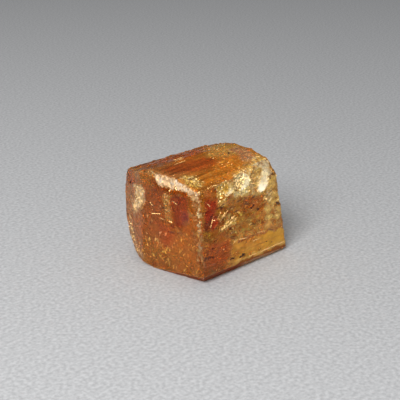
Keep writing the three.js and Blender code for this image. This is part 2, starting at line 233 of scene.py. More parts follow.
# Patches of the stone, a later one over an earlier one: name, side, colour, share of that colour, frosting,
# milkiness, soft edge in mm and outline in mm. An outline is drawn across its side: (y, z) on the ends,
# (x, z) on front, back, underside and scars, (x, y) on top and foot.
PATCHES = (
    ("brown heart", "end", BROWN, 1.0, 0.0, 0.06, 1.12,
     ((2.1, 9.9), (0.3, 9.5), (-0.7, 9.1), (-0.7, 5.8), (-1.4, 5.5), (-2.0, 4.1), (1.2, 2.5), (4.0, 2.2),
      (4.4, 4.7), (2.1, 7.2))),
    ("golden foot of end", "end", AMBER, 0.9, 0.0, 0.13, 1.68,
     ((-2.0, 5.0), (-6.0, 6.7), (-6.2, 1.1), (-4.5, 0.7), (-0.9, 0.5), (-0.2, 2.4))),
    ("left low", "end", STRAW, 0.9, 0.2, 0.22, 0.7,
     ((5.4, 4.3), (3.9, 5.1), (2.5, 2.1), (1.2, 0.5), (2.0, 0.4), (4.1, 1.0))),
    ("golden corner", "end", AMBER, 0.8, 0.0, 0.13, 0.5,
     ((2.0, 3.4), (0.9, 3.4), (-0.4, 2.2), (-0.6, 0.6), (1.4, 0.5), (2.4, 1.6))),
    ("gold stripe", "end", GOLD, 0.9, 0.3, 0.12, 0.2,
     ((-0.7, 9.3), (-1.7, 9.3), (-1.8, 8.1), (-2.0, 6.2), (-1.0, 5.9), (-0.7, 7.2))),
    ("plum zone", "end", PLUM, 1.0, 0.0, 0.06, 0.42,
     ((-1.8, 9.1), (-3.9, 9.6), (-4.3, 8.1), (-4.2, 6.7), (-3.1, 5.7), (-2.0, 5.7))),
    ("rosy cloud", "end", ROSE, 0.8, 0.0, 0.08, 0.5,
     ((0.0, 5.6), (-1.6, 5.6), (-2.2, 4.4), (-1.7, 3.2), (-0.6, 2.8), (-0.2, 3.8))),
    ("plum spot", "end", MAROON, 1.0, 0.0, 0.5, 0.42, ((-3.5, 7.7), (-4.2, 7.6), (-4.3, 6.6), (-3.6, 6.5))),
    ("dark corner", "end", RUST, 0.9, 0.0, 0.04, 0.42, ((5.6, 9.8), (5.2, 10.2), (3.9, 8.9), (5.7, 8.0))),
    ("frosted band", "end", CREAM, 1.0, 1.0, 0.5, 0.25,
     ((1.5, 10.95), (0.6, 11.0), (-1.5, 11.0), (-2.6, 10.9), (-3.3, 10.7), (-3.8, 10.4), (-4.8, 10.5),
      (-5.5, 10.4), (-5.6, 10.0), (-4.4, 9.7), (-3.6, 9.8), (-2.7, 10.0), (-1.5, 9.9), (-0.1, 9.9),
      (1.0, 10.5))),
    ("top line", "end", CREAM, 1.0, 0.5, 0.45, 0.1,
     ((4.1, 10.45), (2.7, 10.83), (1.6, 10.85), (0.8, 10.88), (0.8, 10.58), (1.6, 10.55), (2.6, 10.53),
      (3.9, 10.15))),
    ("left bevel", "end left", COPPER, 0.9, 0.0, 0.07, 0.5, ((7.0, 9.0), (1.0, 9.0), (1.0, 0.3), (7.0, 0.3))),
    ("frosted left foot", "end left", BUFF, 0.8, 0.5, 0.2, 0.25,
     ((5.9, 4.4), (5.3, 4.2), (4.0, 2.0), (2.4, 1.0), (2.6, 0.4), (4.3, 0.8), (5.7, 2.3))),
    ("left ground", "end", TAN, 0.8, 0.2, 0.15, 0.5,
     ((5.8, 8.4), (2.4, 9.0), (2.4, 6.8), (4.4, 4.8), (6.2, 5.2))),
    ("left top", "end", ORANGE, 0.9, 0.1, 0.14, 0.5,
     ((4.6, 10.6), (0.8, 10.9), (0.9, 9.7), (3.6, 9.2), (4.4, 9.8))),
    ("left frost", "end", BUFF, 0.9, 0.75, 0.35, 0.35,
     ((4.4, 8.8), (2.7, 9.1), (2.0, 9.1), (2.1, 7.3), (2.8, 6.6), (3.6, 5.6), (4.4, 5.0),
      (4.6, 6.4), (3.6, 7.4))),
    ("front edge band", "end", TAN, 0.7, 0.42, 0.08, 0.4,
     ((-4.2, 9.7), (-5.6, 10.4), (-5.8, 9.0), (-6.0, 6.8), (-6.1, 4.1), (-6.2, 2.7), (-5.9, 2.7),
      (-5.7, 4.5), (-5.2, 6.7), (-4.7, 8.8))),
    ("dull foot of edge band", "end", DUN, 0.9, 0.3, 0.08, 0.3,
     ((-4.7, 6.0), (-5.8, 6.0), (-6.2, 4.5), (-6.2, 2.2), (-5.4, 2.2), (-5.2, 4.2))),
    # Painted internal reflection: bands along the front's edges, the olive middle, the brown band above it,
    # and the golden foot with its lemon foot, which also paints the glow of light that leaves the stone there
    ("olive middle", "front", OLIVE, 0.95, 0.0, 0.17, 0.98,
     ((-1.0, 6.5), (2.9, 6.4), (3.1, 4.0), (-0.1, 3.7), (-2.8, 4.3), (-2.1, 5.2))),
    ("golden foot of front", "front", GLOW, 0.9, 0.0, 0.46, 0.9,
     ((-2.1, 3.9), (3.4, 3.6), (6.3, 3.1), (6.9, 0.2), (-0.9, 0.2), (-3.3, 1.4))),
    ("lemon foot", "front", GLOW, 0.9, 0.0, 0.66, 0.7, ((2.8, 3.2), (6.9, 2.9), (6.9, 1.0), (3.0, 1.2))),
    # painted internal reflection: a brown band across the upper front
    ("reflected band", "front", RUST, 0.8, 0.0, 0.08, 0.56,
     ((-2.0, 8.3), (0.4, 8.0), (3.1, 7.4), (3.1, 6.3), (0.9, 6.6), (-1.0, 6.5), (-2.2, 7.1))),
    ("lemon side", "front", STRAW, 0.9, 0.3, 0.5, 0.84,
     ((4.1, 9.2), (5.5, 9.0), (6.0, 6.2), (6.4, 3.5), (3.4, 3.6), (3.2, 6.0))),
    ("red heart", "front", RED, 1.0, 0.0, 0.16, 0.49,
     ((-6.1, 9.4), (-4.3, 9.2), (-3.9, 8.3), (-4.4, 7.6), (-3.9, 6.3), (-5.2, 5.5), (-6.4, 6.1))),
    ("dark foot of red heart", "front", OXBLOOD, 0.9, 0.0, 0.2, 0.35,
     ((-6.2, 7.0), (-5.2, 7.2), (-5.0, 6.3), (-5.6, 5.7), (-6.4, 5.9))),
    ("orange top of red heart", "front", EMBER, 0.9, 0.0, 0.25, 0.3,
     ((-6.0, 10.3), (-4.4, 10.2), (-4.5, 9.2), (-6.1, 9.3))),
    ("red foot", "front", EMBER, 1.0, 0.0, 0.16, 0.7,
     ((-6.4, 4.8), (-4.9, 4.7), (-2.5, 3.8), (-2.9, 1.8), (-6.4, 1.6))),
    ("olive patch", "front", OLIVE, 1.0, 0.0, 0.05, 0.28,
     ((-6.3, 6.0), (-4.5, 5.7), (-4.6, 4.4), (-6.4, 4.8))),
    ("glitter", "front", STRAW, 0.9, 0.55, 0.62, 0.6,
     ((-2.6, 10.6), (4.8, 10.9), (5.0, 8.4), (3.0, 7.6), (0.6, 8.2), (-1.8, 8.2))),
    ("frosted spot", "front", GLOW, 0.8, 0.8, 0.62, 0.3,
     ((-4.2, 10.5), (-2.9, 10.5), (-2.0, 9.9), (-1.8, 9.4), (-2.7, 8.8), (-3.1, 8.2), (-3.8, 8.6),
      (-3.9, 9.7))),
    ("speckled patch", "front", FLAX, 0.9, 0.9, 0.62, 0.4,
     ((-1.8, 9.1), (-0.4, 10.6), (1.1, 10.8), (1.5, 10.6), (1.1, 9.1), (0.4, 8.6), (-1.2, 8.4))),
    ("scar floor", "front", STRAW, 0.9, 0.7, 0.62, 0.4, ((1.3, 10.3), (3.0, 10.4), (3.0, 8.2), (1.5, 8.2))),
    ("gold streak", "front", GLOW, 0.9, 0.8, 0.62, 0.28,
     ((-3.7, 5.7), (-2.6, 6.1), (-1.4, 6.2), (-1.2, 5.8), (-2.3, 5.5), (-3.5, 5.4))),
    # painted glow: a bright golden line along the front's bottom edge
    ("golden rim", "front", STRAW, 0.9, 0.1, 0.7, 0.14,
     ((-1.5, 1.3), (2.0, 1.3), (6.8, 1.25), (6.8, 0.9), (-1.5, 0.9))),
    # painted shade: the front's lowest edge, darkened where the stone meets the floor
    ("dark foot of front", "front", FOOT_SHADE_BROWN, 1.0, 0.0, 0.9, 0.1,
     ((-2.6, 0.8), (-0.5, 0.92), (4.0, 0.94), (7.2, 0.9), (7.2, -0.3), (-2.6, -0.3))),
    # painted internal reflection: a light line across the front, parallel to its bottom edge
    ("foot line", "front", CREAM, 0.7, 0.3, 0.05, 0.14,
     ((-1.2, 3.7), (1.1, 3.6), (3.2, 3.4), (6.3, 3.1), (6.3, 2.9), (3.2, 3.2), (1.1, 3.3), (-1.1, 3.4))),
    ("side frost", "front", FLAX, 0.6, 0.7, 0.2, 0.4,
     ((3.5, 7.7), (4.5, 7.8), (4.8, 6.8), (4.1, 6.4), (3.4, 6.9))),
    # Painted shade: the downward bevels at the foot of the front and of the end, dark where they face the
    # floor
    ("shaded foot", "under", OXBLOOD, 1.0, 0.0, 0.9, 0.14,
     ((-7.0, 1.4), (7.6, 1.4), (7.6, -0.3), (-7.0, -0.3))),
    ("shaded foot of end", "end foot", OXBLOOD, 1.0, 0.0, 0.9, 0.14,
     ((-7.0, 1.4), (6.0, 1.4), (6.0, -0.3), (-7.0, -0.3))),
    ("ground of top", "top", MARIGOLD, 0.9, 0.05, 0.38, 0.5,
     ((-7.5, 6.5), (7.5, 6.5), (7.5, -6.5), (-7.5, -6.5))),
    ("brown back of top", "top", SIENNA, 1.0, 0.0, 0.38, 0.84,
     ((-4.9, 5.3), (-1.9, 4.9), (1.3, 4.6), (3.7, 4.1), (1.1, 1.0), (-1.4, 0.7), (-3.9, 1.4), (-6.1, 2.2))),
    ("brown end of top", "top", UMBER, 0.9, 0.0, 0.38, 0.8,
     ((-7.2, 4.0), (-3.6, 3.0), (-3.4, -2.2), (-7.2, -2.4))),
    ("rusty streaks", "top", BRICK, 0.9, 0.0, 0.4, 0.56,
     ((-6.1, 0.6), (-3.4, 0.7), (-0.1, -0.2), (0.2, -1.9), (-1.5, -2.9), (-3.7, -2.4), (-5.9, -0.9))),
    ("golden side of top", "top", MARIGOLD, 1.0, 0.28, 0.42, 0.7,
     ((-3.7, -3.5), (-1.0, -2.7), (1.9, -3.0), (3.4, -4.1), (0.2, -5.1), (-2.3, -5.4), (-5.0, -5.0))),
    ("lemon patch", "top", STRAW, 0.9, 0.55, 0.35, 0.4,
     ((-6.2, -2.2), (-5.1, -2.2), (-4.4, -3.0), (-4.6, -4.3), (-5.2, -4.9), (-6.2, -4.7), (-6.5, -3.9),
      (-6.3, -3.1))),
    ("tan far", "top", STRAW, 0.8, 0.35, 0.4, 0.6,
     ((3.6, 3.1), (5.0, 1.9), (5.1, -0.8), (4.0, -2.3), (1.5, -1.9), (0.1, -0.5))),
    ("pink far", "top", STRAW, 0.7, 0.5, 0.5, 0.4,
     ((4.5, -1.0), (4.8, -2.8), (4.8, -4.3), (3.6, -4.5), (2.6, -3.6))),
    ("brown far of top", "top", ROAN, 0.9, 0.3, 0.38, 0.4,
     ((4.8, -0.6), (5.0, -2.2), (4.3, -3.9), (3.3, -4.3), (2.6, -3.4), (3.1, -1.7), (3.3, -0.6))),
    ("glitter of top", "top", STRAW, 0.8, 0.55, 0.4, 0.5,
     ((-1.4, -6.4), (5.4, -6.4), (5.2, -3.6), (3.0, -4.0), (1.0, -4.4), (-0.8, -5.0))),
    ("dark rim", "top", SEPIA, 1.0, 0.0, 0.85, 0.28, ((-6.2, 5.4), (-1.5, 5.6), (-1.5, 5.1), (-6.2, 4.7))),
    ("tan facet", "front", IVORY, 1.0, 0.5, 0.5, 0.15,
     ((3.3, 11.1), (4.3, 11.0), (5.0, 11.0), (5.1, 9.8), (5.2, 9.4), (4.2, 9.3), (3.8, 10.4), (2.5, 10.9))),
    # Painted highlight: on the scar's walls, where the skin would mirror the key light to the camera, pale
    # milky paint over real frosting, brightest in the crescent at the foot of the right wall
    ("left scar wall", "scar", FLAX, 1.0, 0.8, 0.7, 0.3,
     ((-3.2, 10.6), (-1.2, 10.6), (-1.2, 8.0), (-2.6, 8.0))),
    ("middle scar wall", "scar", IVORY, 1.0, 0.75, 0.8, 0.3,
     ((-0.6, 10.7), (1.8, 10.7), (1.8, 8.2), (0.2, 8.2))),
    ("right scar wall", "scar", IVORY, 1.0, 0.7, 0.8, 0.3,
     ((2.4, 10.6), (4.6, 10.6), (4.6, 7.2), (1.4, 7.2), (1.4, 8.2))),
    ("crescent highlight", "scar", CRESCENT_HIGHLIGHT, 1.0, 0.1, 1.0, 0.4,
     ((1.2, 9.0), (3.3, 9.3), (4.0, 7.2), (1.2, 7.2))),
    ("dull back", "back", BROWN, 0.7, 0.3, 0.04, 1.68, ((-5.0, 8.0), (1.0, 9.0), (3.0, 5.0), (-2.0, 2.5))),
    ("golden back", "back", PALE, 0.9, 0.2, 0.6, 1.4, ((1.0, 9.0), (7.0, 9.0), (7.0, 0.5), (-1.0, 0.5))),
    ("stained break", "far", RUST, 0.8, 0.2, 0.04, 1.12, ((-5.0, 9.0), (0.0, 10.0), (1.0, 6.5), (-4.0, 5.0))),
    ("frosted break", "far", FLAX, 0.9, 0.1, 0.6, 0.9, ((6.0, 9.5), (-6.0, 9.5), (-6.5, 0.5), (6.0, 0.5))),
    ("worn foot", "foot", FLAX, 0.9, 0.2, 0.6, 1.5, ((0.0, -7.0), (8.0, -7.0), (8.0, 7.0), (2.0, 7.0))),
)

# A side: which way its faces point, how nearly, and the two axes of its outlines. A ray that looks for its
# skin starts RAY_START mm out.
SIDES = {
    "end": ((-1, 0, 0), 0.3, (1, 2)),
    "end left": ((-0.95, 0.31, 0.02), 0.95, (1, 2)),
    "far": ((1, 0, 0), 0.3, (1, 2)),
    "front": ((0, -1, 0), 0.45, (0, 2)),
    "back": ((0, 1, 0), 0.45, (0, 2)),
    "top": ((0, 0, 1), 0.6, (0, 1)),
    "foot": ((0, 0, -1), 0.6, (0, 1)),
    "end foot": ((-0.69, -0.14, -0.71), 0.9, (1, 2)),
    "under": ((0, -0.78, -0.62), 0.9, (0, 2)),
    # scar: skin that faces halfway between the key light and the camera, so its patches are painted highlight
    "scar": ((-0.74, -0.41, 0.54), 0.72, (0, 2)),
}
RAY_START = 20

# Flakes inside the stone, where old cracks have healed: name, side, middle and spread in mm across that side,
# number, depth below the skin in mm, and width in mm, each from least to most.
FLAKES = (
    ("flakes_front_left", "front", (-3.1, 9.2), (0.8, 0.8), 90, (0.13, 0.7), (0.12, 0.6)),
    ("flakes_front_middle", "front", (0.1, 9.3), (0.9, 0.8), 135, (0.13, 0.7), (0.12, 0.6)),
    ("flakes_front_right", "front", (4.9, 6.6), (0.9, 2.2), 220, (0.13, 0.7), (0.12, 0.5)),
    ("flakes_front_streak", "front", (-2.6, 6.3), (0.9, 0.7), 90, (0.13, 0.7), (0.12, 0.6)),
    ("flakes_red_heart", "front", (-5.0, 7.8), (0.6, 1.3), 60, (0.13, 0.5), (0.1, 0.5)),
    ("flakes_front", "front", (1.0, 5.2), (3.6, 2.2), 420, (0.13, 1.2), (0.1, 0.5)),
    ("flakes_end_foot", "end", (-1.0, 2.9), (2.8, 1.3), 120, (0.13, 0.8), (0.12, 0.6)),
    ("flakes_end_heart", "end", (-2.0, 7.6), (1.0, 1.0), 34, (0.15, 1.0), (0.07, 0.41)),
    ("flakes_end_left", "end", (3.6, 7.2), (0.9, 1.1), 70, (0.1, 0.8), (0.07, 0.43)),
    ("flakes_end_edge", "end", (-5.2, 6.5), (0.4, 2.2), 70, (0.1, 0.8), (0.07, 0.35)),
    ("flakes_top_near", "top", (-4.6, -3.6), (1.0, 0.9), 60, (0.15, 1.0), (0.08, 0.49)),
    ("flakes_top_gold", "top", (1.0, -3.8), (2.4, 1.0), 150, (0.14, 0.7), (0.12, 0.6)),
    ("flakes_top", "top", (-1.5, 0.0), (2.8, 2.0), 90, (0.15, 1.5), (0.06, 0.32)),
    ("flakes_top_far", "top", (3.4, 0.2), (1.2, 2.4), 110, (0.14, 0.7), (0.1, 0.5)),
    ("flakes_back", "back", (0.5, 5.5), (3.5, 2.2), 120, (0.2, 2.0), (0.08, 0.46)),
    ("flakes_far", "far", (0.0, 6.0), (2.8, 2.2), 90, (0.2, 1.5), (0.08, 0.46)),
)
FLAKE_TILT = 0.13
FLAKE_SMALLNESS = 2
FLAKE_NARROWNESS = (0.15, 0.5)
FLAKE_TURN = 0.7
END_FLAKE_TURN = 0.5
UPRIGHT = math.radians(90)

# Chips that stand in the skin: name, side, middle and spread in mm across that side, number, and width in mm
# from least to most.
CHIPS = (
    ("chips_front_left", "front", (-3.1, 9.3), (0.5, 0.6), 46, (0.06, 0.24)),
    ("chips_front_middle", "front", (0.1, 9.6), (0.9, 0.6), 150, (0.06, 0.28)),
    ("chips_front_right", "front", (3.4, 9.0), (1.0, 0.8), 60, (0.05, 0.22)),
    ("chips_side", "front", (4.6, 6.8), (0.7, 1.6), 34, (0.05, 0.18)),
    ("chips_streak", "front", (-2.5, 5.8), (0.7, 0.3), 36, (0.06, 0.2)),
    ("chips_front", "front", (-0.5, 5.6), (3.3, 2.0), 110, (0.05, 0.17)),
    ("chips_red_heart", "front", (-5.0, 6.8), (0.4, 0.6), 8, (0.05, 0.14)),
    ("chips_band", "end", (-1.5, 10.4), (1.6, 0.35), 50, (0.05, 0.2)),
    ("chips_left", "end", (3.3, 7.6), (0.6, 1.0), 40, (0.05, 0.22)),
    ("chips_edge", "end", (-5.5, 6.5), (0.25, 2.4), 40, (0.05, 0.15)),
    ("chips_left_edge", "end", (4.9, 3.4), (0.5, 1.3), 18, (0.08, 0.26)),
    ("chips_left_foot", "end", (2.8, 1.5), (0.9, 0.25), 20, (0.08, 0.24)),
    ("chips_near_edge", "top", (-4.6, -5.42), (1.1, 0.05), 40, (0.06, 0.2)),
    ("chips_crescent", "front", (2.9, 8.9), (0.5, 0.6), 30, (0.06, 0.2)),
    ("chips_top_near", "top", (-5.3, -3.4), (0.6, 0.8), 20, (0.05, 0.2)),
    ("chips_top", "top", (0.5, -3.8), (2.4, 1.2), 80, (0.05, 0.22)),
    ("chips_top_far", "top", (3.8, 0.5), (1.0, 2.2), 38, (0.05, 0.2)),
)
DULL_CHIPS = ("chips_top", "chips_top_far")
CHIP_TILT = 0.12
CHIP_LEAN = 0.4
CHIP_SMALLNESS = 1.5
CHIP_NARROWNESS = (0.3, 0.7)
CHIP_SINKING = 0.15

# Rust-brown films: side, from where to where along each axis across it in mm, and number
STAINS = (
    ("front", (-6.0, 5.0), (1.0, 9.0), 80),
    ("end", (-3.0, 2.0), (2.0, 8.0), 14),
    ("top", (-5.0, 3.0), (-3.0, 4.0), 24),
)
STAIN_DEPTHS = (0.15, 0.9)
STAIN_LENGTHS = (0.2, 1.1)
STAIN_THICKNESS = 0.1 * MM
STAIN_TILT = 0.3

# Streaks, each a row of chips: side, both ends in mm across that side, and width in mm
STREAKS = (
    ("front", (-3.7, 5.45), (-2.3, 5.75), 0.14),
    ("front", (-2.6, 5.75), (-1.3, 6.05), 0.20),
    ("front", (-3.3, 5.75), (-2.4, 6.1), 0.14),
    ("front", (-2.3, 6.15), (-1.5, 6.45), 0.12),
    ("front", (-3.9, 6.4), (-3.0, 7.2), 0.12),
    ("front", (-3.3, 6.7), (-2.5, 7.4), 0.11),
    ("front", (-4.3, 6.8), (-3.7, 7.4), 0.11),
    ("front", (-5.3, 6.2), (-4.9, 7.0), 0.12),
    ("front", (-5.6, 8.9), (-5.2, 8.5), 0.12),
    ("front", (-0.9, 3.57), (0.1, 3.45), 0.11),
    ("front", (1.9, 3.5), (3.2, 3.35), 0.07),
    ("front", (1.2, 2.75), (2.4, 2.7), 0.08),
    ("front", (0.6, 1.12), (6.4, 1.06), 0.08),
    ("end", (1.05, 7.7), (0.9, 7.4), 0.12),
    ("end", (0.9, 7.4), (0.5, 7.35), 0.12),
    ("end", (0.9, 6.38), (-0.4, 6.68), 0.10),
    ("end", (-0.45, 6.14), (-0.85, 6.18), 0.15),
    ("end", (-1.6, 6.14), (-2.0, 6.1), 0.14),
    ("end", (-2.1, 8.6), (-2.6, 8.3), 0.10),
    ("end", (3.8, 10.3), (1.6, 10.9), 0.07),
    ("top", (-2.6, 2.1), (-1.2, 2.1), 0.05),
    ("top", (-4.0, 0.6), (-2.4, 0.55), 0.05),
    ("top", (-3.2, 1.3), (-1.9, 1.3), 0.05),
)
STREAK_TILT = 0.07
STREAK_OVERLAP = 1.7
STREAK_LIFT = (-0.3, 0.25)
STREAK_WANDER = 0.2
STREAK_NARROWNESS = (0.5, 1.1)

# Dark specks of iron oxide in the skin, each a few grains: side, place in mm across it, and width in mm
SPECKS = (
    ("front", (-3.1, 8.2), 0.26),
    ("front", (1.4, 6.65), 0.3),
    ("front", (2.25, 6.2), 0.28),
    ("front", (5.5, 6.0), 0.36),
    ("front", (4.85, 9.45), 0.26),
    ("front", (4.5, 9.1), 0.2),
    ("front", (3.5, 2.05), 0.26),
    ("front", (4.35, 1.65), 0.2),
    ("front", (-0.5, 1.6), 0.4),
    ("front", (-0.9, 1.55), 0.26),
    ("front", (-2.1, 1.8), 0.3),
    ("front", (-6.2, 3.0), 0.3),
    ("front", (-5.7, 2.9), 0.34),
    ("front", (-5.1, 2.8), 0.24),
    ("front", (-2.4, 5.2), 0.16),
    ("front", (-0.9, 4.6), 0.18),
    ("end", (-0.7, 7.45), 0.28),
    ("end", (5.0, 8.6), 0.3),
    ("top", (2.6, -1.4), 0.3),
)
SPECK_GRAINS = 4
SPECK_DEPTH = 0.01 * MM
SPECK_SCATTER = 0.35
SPECK_SHIFTS = (1.2, 0.4, 0.6)
SPECK_TURN = 0.5
GRAIN_SIZES = (0.5, 1.1)
GRAIN_NARROWNESS = (0.3, 0.7)


def deselect_all():
    bpy.ops.object.select_all(action="DESELECT")


def make_active(piece):
    deselect_all()
    piece.select_set(True)
    bpy.context.view_layer.objects.active = piece


def put_in_scene(thing):
    bpy.context.scene.collection.objects.link(thing)


def apply_modifier(piece, name, kind, **settings):
    make_active(piece)
    modifier = piece.modifiers.new(name, kind)
    for key, value in settings.items():
        setattr(modifier, key, value)
    bpy.ops.object.modifier_apply(modifier=modifier.name)


def make_part_of_stone(piece):
    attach(piece, "root")


def place_camera():
    back = Vector((
        math.sin(CAMERA_TURN) * math.cos(CAMERA_HEIGHT),
        -math.cos(CAMERA_TURN) * math.cos(CAMERA_HEIGHT),
        math.sin(CAMERA_HEIGHT),
    ))
    level = Vector((math.cos(CAMERA_TURN), math.sin(CAMERA_TURN), 0.0))
    upright = back.cross(level)
    right = level * math.cos(CAMERA_ROLL) + upright * math.sin(CAMERA_ROLL)
    up = upright * math.cos(CAMERA_ROLL) - level * math.sin(CAMERA_ROLL)
    data = bpy.data.cameras.new("camera")
    data.lens = LENS_LENGTH
    data.sensor_width = SENSOR_WIDTH
    data.clip_start = NEAREST_SEEN
    data.clip_end = FARTHEST_SEEN
    camera = bpy.data.objects.new("camera", data)
    put_in_scene(camera)
    turn = Matrix((right, up, back)).transposed().to_4x4()
    camera.matrix_world = Matrix.Translation(CAMERA_AT) @ turn
    bpy.context.scene.camera = camera


def softbox(name, at, size, power):
    """A square lamp that faces the middle of the stone's foot."""
    data = bpy.data.lights.new(name, "AREA")
    data.shape = "SQUARE"
    data.size = size
    data.energy = power
    lamp = bpy.data.objects.new(name, data)
    put_in_scene(lamp)
    facing = (-at).to_track_quat("-Z", "Y")
    lamp.matrix_world = Matrix.Translation(at) @ facing.to_matrix().to_4x4()


def feed(tree, node, feeds):
    """Sets inputs of a shader node, each to a value or to the output that leads to it."""
    for key, source in feeds.items():
        if isinstance(source, bpy.types.NodeSocket):
            tree.links.new(source, node.inputs[key])
        else:
            node.inputs[key].default_value = source


def add_node(tree, kind, feeds=None, **settings):
    node = tree.nodes.new("ShaderNode" + kind)
    for key, value in settings.items():
        setattr(node, key, value)
    feed(tree, node, feeds or {})
    return node


def map_range(tree, value, low, high, start, end, **settings):
    """Leads a value from low and high to start and end, and holds it there beyond them."""
    feeds = {"Value": value, "From Min": low, "From Max": high, "To Min": start, "To Max": end}
    return add_node(tree, "MapRange", feeds, **settings).outputs["Result"]


def calculate(tree, operation, *values):
    return add_node(tree, "Math", dict(enumerate(values)), operation=operation).outputs["Value"]


def calculate_vector(tree, operation, feeds, result="Vector"):
    return add_node(tree, "VectorMath", feeds, operation=operation).outputs[result]


def blend(tree, share, one, other, data_type="FLOAT"):
    feeds = {"Factor": share, "A": one, "B": other}
    return add_node(tree, "Mix", feeds, data_type=data_type).outputs["Result"]


def new_material(name):
    material = bpy.data.materials.new(name)
    material.use_nodes = True
    return material, material.node_tree, material.node_tree.nodes["Principled BSDF"]


def light_studio():
    """A grey studio, lighter overhead and darker behind the stone."""
    world = bpy.data.worlds.new("studio")
    world.use_nodes = True
    tree = world.node_tree
    way = add_node(tree, "TexCoord").outputs["Generated"]
    height = add_node(tree, "SeparateXYZ", {"Vector": way}).outputs["Z"]
    light = map_range(tree, height, *WALL_SPAN, WALL_LIGHT, CEILING_LIGHT, interpolation_type="SMOOTHSTEP")
    behind = calculate_vector(tree, "DOT_PRODUCT", {0: way, 1: BEHIND}, "Value")
    share = map_range(tree, behind, *BEHIND_SPAN, 1.0, BEHIND_SHARE, interpolation_type="SMOOTHSTEP")
    strength = calculate(tree, "MULTIPLY", light, share)
    feed(tree, tree.nodes["Background"], {"Color": (*STUDIO_COLOUR, 1), "Strength": strength})
    bpy.context.scene.world = world


def paper_material():
    material, tree, skin = new_material("grey paper")
    place = add_node(tree, "TexCoord").outputs["Object"]
    fibres = add_node(tree, "TexNoise", {"Vector": place, "Scale": PAPER_FIBRES, "Detail": 2})
    shade = add_node(tree, "ValToRGB", {"Fac": fibres.outputs["Fac"]})
    for stop, position, colour in zip(shade.color_ramp.elements, PAPER_SPAN, (PAPER_DARK, PAPER_LIGHT)):
        stop.position = position
        stop.color = (*colour, 1)
    feed(tree, skin, {
        "Base Color": shade.outputs["Color"],
        "Roughness": PAPER_ROUGHNESS,
        "Specular IOR Level": PAPER_SHEEN,
    })
    return material


def lay_floor():
    deselect_all()
    bpy.ops.mesh.primitive_plane_add(size=FLOOR_SIZE, location=(0, 0, -FLOOR_GAP))
    floor = bpy.context.active_object
    floor.name = "floor"
    floor.data.materials.append(paper_material())


def thin_out_frosting(tree, frost, lot):
    """The share of frosting of each grain: where the frost thins out, its grains go one by one."""
    spread = map_range(tree, lot, 0.0, 1.0, *GRAIN_LOTS)
    share = calculate(tree, "MULTIPLY_ADD", frost, FROST_SHARE, spread)
    return add_node(tree, "Clamp", {"Value": share}).outputs["Result"]


def streak_colour(tree, place, tint):
    """Streaks of colour along the prism faces, as strong as the paint's alpha says."""
    stretched = add_node(tree, "Mapping", {"Vector": place, "Scale": STREAK_WAVES})
    streaks = add_node(tree, "TexNoise", {
        "Vector": stretched.outputs["Vector"],
        "Scale": 1.0,
        "Detail": STREAK_DETAIL,
        "Roughness": STREAK_ROUGHNESS,
    })
    shade = map_range(tree, streaks.outputs["Fac"], *STREAK_SPAN, *STREAK_SHADES)
    strength = blend(tree, tint.outputs["Alpha"], 1.0, shade)
    return calculate_vector(tree, "SCALE", {0: tint.outputs["Color"], "Scale": strength})


def speckle_colour(tree, colour, tint, frosting, lots):
    """Every grain of the frosting has its own brightness, and some of the grains are pale: painted glints."""
    shade = map_range(tree, lots.outputs["Green"], 0.0, 1.0, *GRAIN_SHADES)
    brightness = blend(tree, frosting, 1.0, shade)
    lit = calculate_vector(tree, "SCALE", {0: colour, "Scale": brightness})
    pale_lots = map_range(tree, lots.outputs["Blue"], *GLINTING_LOTS, 0.0, 1.0)
    paleness = calculate(tree, "MULTIPLY", pale_lots, frosting)
    pale = add_node(tree, "Gamma", {"Color": tint.outputs["Color"], "Gamma": GLINT_PALENESS})
    return blend(tree, paleness, lit, pale.outputs["Color"], "RGBA")


def lean_grains(tree, place, grain, frosting):
    """Every grain of the frosting is a small facet that leans its own way."""
    offset = calculate_vector(tree, "SUBTRACT", {0: place, 1: grain.outputs["Position"]})
    way = calculate_vector(tree, "SUBTRACT", {0: grain.outputs["Color"], 1: (0.5, 0.5, 0.5)})
    height = calculate_vector(tree, "DOT_PRODUCT", {0: offset, 1: way}, "Value")
    feeds = {"Distance": FACET_LEAN, "Strength": frosting, "Height": height}
    return add_node(tree, "Bump", feeds).outputs["Normal"]


def topaz_material():
    """See-through topaz, amber in its depth, with colour, frost and milk painted on its skin."""
    material, tree, skin = new_material("clear topaz")
    place = add_node(tree, "TexCoord").outputs["Object"]
    tint = add_node(tree, "Attribute", attribute_name="tint")
    frost = add_node(tree, "Attribute", attribute_name="frost").outputs["Fac"]
    milk = add_node(tree, "Attribute", attribute_name="milk").outputs["Fac"]
    grain = add_node(tree, "TexVoronoi", {"Vector": place, "Scale": FROST_GRAINS})
    lots = add_node(tree, "SeparateColor", {"Color": grain.outputs["Color"]})
    frosting = thin_out_frosting(tree, frost, lots.outputs["Red"])
    colour = streak_colour(tree, place, tint)
    # thick milk is dull
    frosty = map_range(tree, frosting, 0.0, 1.0, CLEAR_ROUGHNESS, FROSTED_ROUGHNESS)
    milky = map_range(tree, milk, *THICK_MILK, 0.0, MILKY_ROUGHNESS)
    # frosting and milk let less light through
    cover = calculate(tree, "MAXIMUM", frosting, milk)
    feed(tree, skin, {
        "IOR": TOPAZ_IOR,
        "Specular Tint": (*WARM, 1),
        "Base Color": speckle_colour(tree, colour, tint, frosting, lots),
        "Roughness": calculate(tree, "MAXIMUM", frosty, milky),
        "Transmission Weight": map_range(tree, cover, 0.0, 1.0, 1.0, COVERED_TRANSMISSION),
        "Normal": lean_grains(tree, place, grain, frosting),
    })
    depth = add_node(tree, "VolumeAbsorption", {"Color": (*DEPTH_COLOUR, 1), "Density": DEPTH_DENSITY})
    feed(tree, tree.nodes["Material Output"], {"Volume": depth.outputs["Volume"]})
    return material


def plain_material(name, colour, metallic, roughness):
    material, tree, skin = new_material(name)
    feed(tree, skin, {"Base Color": (*colour, 1), "Metallic": metallic, "Roughness": roughness})
    return material


def smooth_step(value, low, high):
    share = np.clip((value - low) / (high - low), 0, 1)
    return share * share * (3 - 2 * share)


